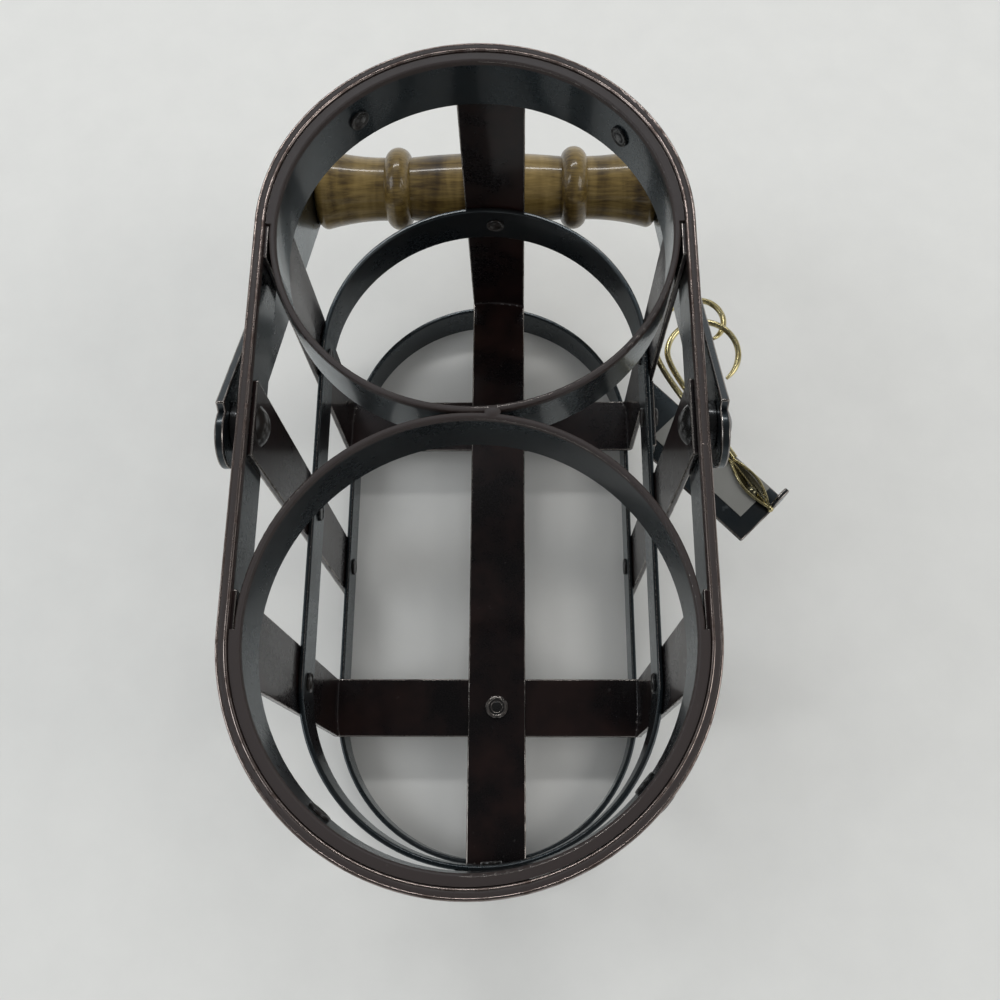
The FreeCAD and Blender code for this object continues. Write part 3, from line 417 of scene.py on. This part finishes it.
def rim_ridge(name, radius):
    """A thin round ridge that follows the rim."""
    alone()
    bpy.ops.mesh.primitive_circle_add(vertices=ROUND_STEPS, radius=radius, location=(0, 0, 0))
    line = bpy.context.object
    for corner in line.data.vertices:
        corner.co.y += END if corner.co.y > 0 else -END
    bpy.ops.object.convert(target="CURVE")
    line.data.bevel_depth = RIDGE
    line.data.bevel_resolution = 3
    bpy.ops.object.convert(target="MESH")
    line.name = name
    line.location = MIDDLE + UP * (RIM - RIDGE)
    settled(line)
    bpy.ops.object.shade_smooth()
    added(line, "hoop_paint", "rim")


def rim_seam():
    """The short weld across the rim where the band's two ends meet."""
    alone()
    bpy.ops.mesh.primitive_cylinder_add(vertices=20, radius=SEAM, depth=BEAD_WIDTH * 0.9,
                                        location=(0, 0, 0), rotation=(0, math.radians(90), 0))
    seam = bpy.context.object
    settled(seam)
    apply_modifier(seam, "BEVEL", width=SEAM * 0.6, segments=3, limit_method="ANGLE",
                   angle_limit=math.radians(60))
    bpy.ops.object.shade_smooth_by_angle(angle=math.radians(50))
    seam.location = MIDDLE + Vector((RIM_OUTER - BEAD_WIDTH / 2, SEAM_ALONG, RIM - SEAM))
    settled(seam)
    seam.name = "rim_seam"
    added(seam, "hoop_paint", "rim")


rim_ridge("rim_ridge_outer", RIM_OUTER - RIDGE - RIDGE_INSET)
rim_ridge("rim_ridge_inner", RIM_OUTER - BEAD_WIDTH + RIDGE + RIDGE_INSET)
rim_seam()


# Weld: the small flat bead where the two rings touch

WELD_SIZE = (0.75, 0.65, 0.6)


def ring_bead():
    """The weld of the rings, drawn in towards its middle."""
    low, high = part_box("ring_weld")
    middle = (Vector(low) + Vector(high)) / 2
    bead = whole_copy("ring_weld", "ring_bead")
    for corner in bead.data.vertices:
        corner.co = middle + Vector(size * gap for size, gap in zip(WELD_SIZE, corner.co - middle))
    alone(bead)
    bpy.ops.object.shade_smooth_by_angle(angle=math.radians(50))
    dress(bead, "band")
    placed(bead, "frame", "hoop_paint", "ring_weld")


ring_bead()


# Rivets: a clinched end inside, with a rolled ring round a sunk middle, and a dome outside

HEAD_RADIUS = 2.7 * MM
CLINCH_HEIGHT, DOME_HEIGHT, SEAT = 0.85 * MM, 1.1 * MM, 0.1 * MM
CLINCH_LIP, CLINCH_DEPTH, CLINCH_EASE = 0.85 * MM, 0.4 * MM, 0.3 * MM
PLUG_INSET, PLUG_RISE = 0.5 * MM, 0.15 * MM
RIVET_STEPS = 32


def rivet_end(place, outward, height, sunk, radius=HEAD_RADIUS):
    """One end of a rivet, that stands on a wall: a disc with a rounded or a sunk top."""
    alone()
    bpy.ops.mesh.primitive_cylinder_add(vertices=RIVET_STEPS, radius=radius, depth=height,
                                        location=(0, 0, height / 2))
    cap = bpy.context.object
    settled(cap)
    picked(cap, lambda face: face.normal.z > 0.9)
    if sunk:
        bpy.ops.mesh.inset(thickness=CLINCH_LIP)
        bpy.ops.transform.translate(value=(0, 0, -CLINCH_DEPTH))
        bpy.ops.mesh.inset(thickness=PLUG_INSET)
        bpy.ops.transform.translate(value=(0, 0, PLUG_RISE))
    bpy.ops.object.mode_set(mode="OBJECT")
    ease = CLINCH_EASE if sunk else height * 0.9
    apply_modifier(cap, "BEVEL", width=ease, segments=3 if sunk else 5, limit_method="ANGLE",
                   angle_limit=math.radians(30))
    bpy.ops.object.shade_smooth_by_angle(angle=math.radians(50))
    cap.location = place
    cap.rotation_euler = outward.to_track_quat("Z", "Y").to_euler()
    settled(cap)
    return cap


def rivet_pair(inside, outward, layers):
    """Both ends of a rivet through layers of sheet, from its place on the inner wall."""
    return [rivet_end(inside + outward * SEAT, -outward, CLINCH_HEIGHT + SEAT, True),
            rivet_end(inside + outward * layers * SHEET, outward, DOME_HEIGHT, False)]


def round_end(end, turn, level):
    """A place on the inner wall of a round end, and its outward direction."""
    outward = Vector((math.cos(turn), end * math.sin(turn), 0))
    return MIDDLE + Vector((0, end * END, level)) + outward * HOOP_INNER, outward


def side_wall(side, along, level):
    """A place on the inner wall of a straight side, and its outward direction."""
    return MIDDLE + Vector((side * HOOP_INNER, along, level)), Vector((side, 0, 0))


def rivets(node, places, layers):
    """All the rivets of one CAD piece."""
    ends = []
    for inside, outward in places:
        ends += rivet_pair(inside, outward, layers)
    stand_in(joined(f"{node}_clinched", ends), "frame", "rivet_paint", node)


RING_LEVEL = RIM - 8.5 * MM
MID_LEVEL = (HOOP_LOW.z + HOOP_HIGH.z) / 2
FOOT_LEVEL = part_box("foot_hoop")[1].z / 2
CROSS, LONG_SHIFT, BRACKET_RIVET_ALONG = 48 * MM, 3 * MM, 28.44 * MM
RING_TURNS = (math.radians(40), math.radians(130))
LONG_TURN = math.acos(LONG_SHIFT / HOOP_INNER)
rivets("ring_rivets", [round_end(end, turn, RING_LEVEL) for end in BOTH for turn in RING_TURNS], 3)
rivets("mid_hoop_rivets", [round_end(end, LONG_TURN, MID_LEVEL) for end in BOTH]
       + [side_wall(side, along * CROSS, MID_LEVEL) for side in BOTH for along in (1, 0, -1)], 2)
rivets("foot_hoop_rivets", [side_wall(side, 0, FOOT_LEVEL) for side in BOTH], 2)
rivets("bracket_rivet", [side_wall(1, BRACKET_RIVET_ALONG, MID_LEVEL)], 2)


# Base rivets: a low dark dome closes the bore of each, inside the crest of its rolled lip, whose bright
# metal is partly wear and partly a painted highlight

BORE_RADIUS, PLUG_HEIGHT, PLUG_DEPTH = 1.7 * MM, 0.6 * MM, 0.75 * MM
BASE_LOW, BASE_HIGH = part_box("base_rivets")
CREST_RADIUS, CREST_WIDTH, CREST_HEIGHT = 2.8 * MM, 0.7 * MM, 0.4 * MM


def base_rivet(end, level):
    """A place on the axis of one base rivet."""
    return Vector(((BASE_LOW.x + BASE_HIGH.x) / 2, MIDDLE.y + end * CROSS, level))


def bore_plug(end):
    """The low dome in a base rivet's bore."""
    return rivet_end(base_rivet(end, BASE_HIGH.z - PLUG_DEPTH), UP, PLUG_HEIGHT, False, BORE_RADIUS)


def rolled_crest(end):
    """The crest of a base rivet's rolled lip, a low flattened ring in bright metal that is partly wear and
    partly a painted highlight.
    """
    alone()
    bpy.ops.mesh.primitive_torus_add(major_radius=CREST_RADIUS, minor_radius=CREST_WIDTH / 2,
                                     major_segments=48, minor_segments=16, location=(0, 0, 0))
    ring = bpy.context.object
    ring.scale = (1, 1, CREST_HEIGHT / CREST_WIDTH)
    ring.location = base_rivet(end, BASE_HIGH.z)
    settled(ring)
    bpy.ops.object.shade_smooth()
    return ring


added(joined("base_rivet_plugs", [bore_plug(end) for end in BOTH]), "rivet_paint")
added(joined("base_rivet_crests", [rolled_crest(end) for end in BOTH]), "rivet_paint", "worn_edge_painted_highlight")


# Ornament: its directions along the bracket and away from it, and the leaf's root

BRACKET_TURN, LEAF_TURN = math.radians(46), math.radians(61.5)
BRACKET_ROOT = MIDDLE + Vector((49.0 * MM, 44.2 * MM, HOOP_LOW.z + 0.5 * MM))
ALONG = Vector((math.cos(BRACKET_TURN), -math.sin(BRACKET_TURN), 0))
AWAY = Vector((math.sin(BRACKET_TURN), math.cos(BRACKET_TURN), 0))
LEAF_ASIDE = Vector((math.sin(LEAF_TURN), math.cos(LEAF_TURN), 0))
WIRE, WIRE_GAP = 0.9 * MM, 0.5 * MM
WIRE_LEVEL = WIRE + 0.05 * MM
HOOK_TILT = math.radians(4)
BEND_STEP = math.radians(40)


def on_bracket(along, away):
    """A place on the bracket's top, in millimetres along it and away from it."""
    return BRACKET_ROOT + ALONG * along * MM + AWAY * away * MM


BRACKET_LENGTH, LEAF_SPAN, LEAF_AWAY = 53.5, 18.4, -2.2
LEAF_ROOT = on_bracket(BRACKET_LENGTH - LEAF_SPAN, LEAF_AWAY)


def wire(name, places, thickness, end_scale):
    """A round wire through soft corners, with a thinner end."""
    curve = bpy.data.curves.new(name, "CURVE")
    curve.dimensions = "3D"
    line = curve.splines.new("NURBS")
    line.points.add(len(places) - 1)
    for point, place in zip(line.points, places):
        point.co = (*place, 1)
        point.radius = 1
    line.points[-1].radius = end_scale
    line.order_u = 3
    line.use_endpoint_u = True
    line.resolution_u = 12
    curve.bevel_depth = thickness
    curve.bevel_resolution = 4
    curve.use_fill_caps = True
    made = bpy.data.objects.new(name, curve)
    bpy.context.collection.objects.link(made)
    alone(made)
    bpy.ops.object.convert(target="MESH")
    bpy.ops.object.shade_smooth_by_angle(angle=math.radians(50))
    return bpy.context.object


def bend_corners(spot, heading, radius, turn):
    """The corners outside a clockwise bend, and the spot and heading at its end."""
    steps = max(2, round(turn / BEND_STEP))
    step = turn / steps
    reach = radius * math.tan(step / 2)
    corners = []
    for _ in range(steps):
        spot = spot + Vector((math.cos(heading), math.sin(heading))) * reach
        corners.append(spot)
        heading -= step
        spot = spot + Vector((math.cos(heading), math.sin(heading))) * reach
    return corners, spot, heading


def hook(name, side, middle, radius, bends):
    """One wire of the tendril: a straight run from the leaf, then bends, with a tapered end."""
    root = LEAF_ROOT + LEAF_ASIDE * side * (2 * WIRE + WIRE_GAP) / 2 + UP * WIRE_LEVEL
    gap = (middle + UP * WIRE_LEVEL - root).to_2d()
    turn = math.atan2(gap.y, gap.x) + math.asin(radius / gap.length)
    run = math.sqrt(gap.length ** 2 - radius ** 2)
    corners = [Vector((0, 0)), Vector((run / 2, 0))]
    spot, heading = Vector((run, 0)), 0
    for size, amount in bends:
        more, spot, heading = bend_corners(spot, heading, size, amount)
        corners += more
    corners.append(spot)
    place = (Matrix.Translation(root) @ Matrix.Rotation(turn, 4, "Z")
             @ Matrix.Rotation(-side * HOOK_TILT, 4, "X"))
    return wire(name, [place @ corner.to_3d() for corner in corners], WIRE, 0.55)


NEAR_RADIUS, FAR_RADIUS, CURL_RADIUS = 10.5 * MM, 16.2 * MM, 7.2 * MM
NEAR_TURN, FAR_TURN, CURL_TURN = math.radians(262), math.radians(112), math.radians(159)
NEAR_MIDDLE, FAR_MIDDLE = on_bracket(6.4, 16.6), on_bracket(5.1, 20.2)
near_hook = hook("near_hook", 1, NEAR_MIDDLE, NEAR_RADIUS, [(NEAR_RADIUS, NEAR_TURN)])
far_hook = hook("far_hook", -1, FAR_MIDDLE, FAR_RADIUS, [(FAR_RADIUS, FAR_TURN), (CURL_RADIUS, CURL_TURN)])
stand_in(joined("tendril_wires", [near_hook, far_hook]), "frame", "pale_brass", "ornament_tendril")


# Leaf: a bright rolled rim and a midrib over a dull dished blade, with a ball at the tip

LEAF_LENGTH, LEAF_HALF, LEAF_DISH = 17.6 * MM, 1.9 * MM, 0.9 * MM
LEAF_RIM, LEAF_RIB, LEAF_BALL = 0.42 * MM, 0.28 * MM, 0.95 * MM
POINT_TURN = math.radians(56.5)
POINT_ALONG = Vector((math.cos(POINT_TURN), -math.sin(POINT_TURN), 0))
POINT_ASIDE = Vector((math.sin(POINT_TURN), math.cos(POINT_TURN), 0))
BLADE_CUTS, BLADE_SHEET = 16, 0.4 * MM


def on_leaf(along, aside, up):
    """A place on the leaf, from its root."""
    return LEAF_ROOT + POINT_ALONG * along + POINT_ASIDE * aside + UP * (WIRE_LEVEL + up)


def leaf_side(side):
    """One side of the leaf's rim."""
    swell = side * LEAF_HALF * 1.3
    places = [on_leaf(0, side * LEAF_RIM, 0), on_leaf(LEAF_LENGTH * 0.3, swell, LEAF_RIM),
              on_leaf(LEAF_LENGTH * 0.7, swell, LEAF_RIM), on_leaf(LEAF_LENGTH, 0, 0)]
    return wire(f"leaf_side_{side}", places, LEAF_RIM, 1)


def leaf_blade():
    """The dished sheet inside the rim."""
    alone()
    bpy.ops.mesh.primitive_grid_add(x_subdivisions=BLADE_CUTS, y_subdivisions=6, size=2, location=(0, 0, 0))
    blade = bpy.context.object
    for corner in blade.data.vertices:
        along, aside = (corner.co.x + 1) / 2, corner.co.y
        half = LEAF_HALF * math.sin(math.pi * min(max(along, 0.02), 0.98)) ** 0.8
        dip = -LEAF_DISH * math.sin(math.pi * along) * (1 - aside ** 2)
        corner.co = on_leaf(along * LEAF_LENGTH, aside * half, dip)
    apply_modifier(blade, "SOLIDIFY", thickness=BLADE_SHEET, offset=0)
    bpy.ops.object.shade_smooth_by_angle(angle=math.radians(50))
    return blade


def leaf_ball():
    """The small ball at the leaf's tip, a little flattened."""
    alone()
    bpy.ops.mesh.primitive_uv_sphere_add(segments=24, ring_count=12, radius=LEAF_BALL,
                                         location=on_leaf(LEAF_LENGTH + LEAF_BALL / 2, 0, 0))
    ball = bpy.context.object
    ball.scale = (1, 1, 0.9)
    settled(ball)
    bpy.ops.object.shade_smooth()
    return ball


leaf_rib = wire("leaf_rib", [on_leaf(0, 0, 0), on_leaf(LEAF_LENGTH * 0.4, 0, -LEAF_DISH * 0.5),
                             on_leaf(LEAF_LENGTH * 0.9, 0, 0)], LEAF_RIB, 0.6)
stand_in(joined("leaf_rim", [leaf_side(1), leaf_side(-1), leaf_rib, leaf_ball()]),
         "frame", "pale_brass", "ornament_leaf")
added(leaf_blade(), "pale_brass", "dull_brass")


# Panel: a smooth pale plate on the bracket, a painted glare standing for light reflected off its dark top,
# with a border of bare strap along two edges

PANEL_START, PANEL_END, PANEL_NEAR, PANEL_FAR = 14, 48.5, -13, -0.4
PANEL_MIDDLE = on_bracket((PANEL_START + PANEL_END) / 2, (PANEL_NEAR + PANEL_FAR) / 2)
PANEL_THICK = 0.3 * MM


def bracket_panel():
    """The pale plate of painted glare, with softened edges."""
    alone()
    bpy.ops.mesh.primitive_cube_add(size=1, location=(0, 0, 0))
    plate = bpy.context.object
    plate.scale = ((PANEL_END - PANEL_START) * MM, (PANEL_FAR - PANEL_NEAR) * MM, PANEL_THICK)
    settled(plate)
    apply_modifier(plate, "BEVEL", width=PANEL_THICK / 3, segments=2)
    plate.location = PANEL_MIDDLE + UP * PANEL_THICK / 2
    plate.rotation_euler = (0, 0, -BRACKET_TURN)
    settled(plate)
    plate.name = "bracket_panel"
    added(plate, "hoop_paint", "panel")


bracket_panel()

for node, thing in frame["nodes"].items():
    dress(thing, "band" if node == "top_band" else SLOT_OF[node])
dress(frame["nodes"]["leaf_rivet"], "dull_brass")


# Stage, light and camera

FLOOR_SIZE = 6
FLOOR_DARK, FLOOR_PALE = (0.65, 0.65, 0.63, 1), (0.71, 0.71, 0.685, 1)
COOL_LIGHT, WARM_LIGHT, ROOM_LIGHT = (0.94, 0.97, 1.0), (1.0, 0.98, 0.95), (0.97, 0.985, 1.0, 1)


def floor():
    """A plain pale floor."""
    alone()
    bpy.ops.mesh.primitive_plane_add(size=FLOOR_SIZE, location=(0, 0, 0))
    ground = bpy.context.object
    ground.name = "floor"
    finish = Finish(material("pale_floor"), Roughness=0.9)
    tone = finish.noise(finish.place(), 60, 4, 0.6)
    finish.set(Base_Color=finish.blend(tone, FLOOR_DARK, FLOOR_PALE))
    ground.data.materials.append(finish.material)


def lamp(name, place, size, power, colour=(1, 1, 1)):
    """A soft lamp, wide and deep, that looks at the caddy."""
    alone()
    bpy.ops.object.light_add(type="AREA", location=place)
    light = bpy.context.object
    light.name = name
    light.data.shape = "RECTANGLE"
    light.data.size, light.data.size_y = size
    light.data.energy = power
    light.data.color = colour
    aim = MIDDLE + UP * RIM / 2 - Vector(place)
    light.rotation_euler = aim.to_track_quat("-Z", "Y").to_euler()


def room_light(low, high, floor_share):
    """Light from all round, pale low down and dim overhead, with a share for dull faces alone."""
    world = bpy.data.worlds.new("studio")
    bpy.context.scene.world = world
    room = Finish(world, "Background", Color=ROOM_LIGHT)
    direction = room.node("ShaderNodeTexCoord", output="Generated")
    height = room.node("ShaderNodeSeparateXYZ", None, {"Vector": direction}, "Z")
    soft = room.node("ShaderNodeLightPath", output="Is Diffuse Ray")
    room.set(Strength=low + height.above(0.35, 0.3) * (high - low) + soft * floor_share)


def camera():
    """A camera at the photo's angle."""
    alone()
    bpy.ops.object.camera_add(location=MIDDLE + UP * RIM + CAMERA_PLACE, rotation=CAMERA_TURN)
    eye = bpy.context.object
    eye.data.sensor_width = SENSOR
    eye.data.lens = LENS
    eye.data.clip_start = 0.01
    bpy.context.scene.camera = eye


floor()
lamp("strip_lamp", (-0.1, 0.74, 1.0), (0.9, 0.1), 4.0)
lamp("left_lamp", (-0.95, -0.1, 1.0), (0.6, 0.6), 3.6, COOL_LIGHT)
lamp("right_lamp", (0.95, -0.2, 1.0), (0.6, 0.6), 3.6, WARM_LIGHT)
room_light(0.75, 0.1, 0.45)
camera()
bpy.context.scene.view_settings.view_transform = "Standard"
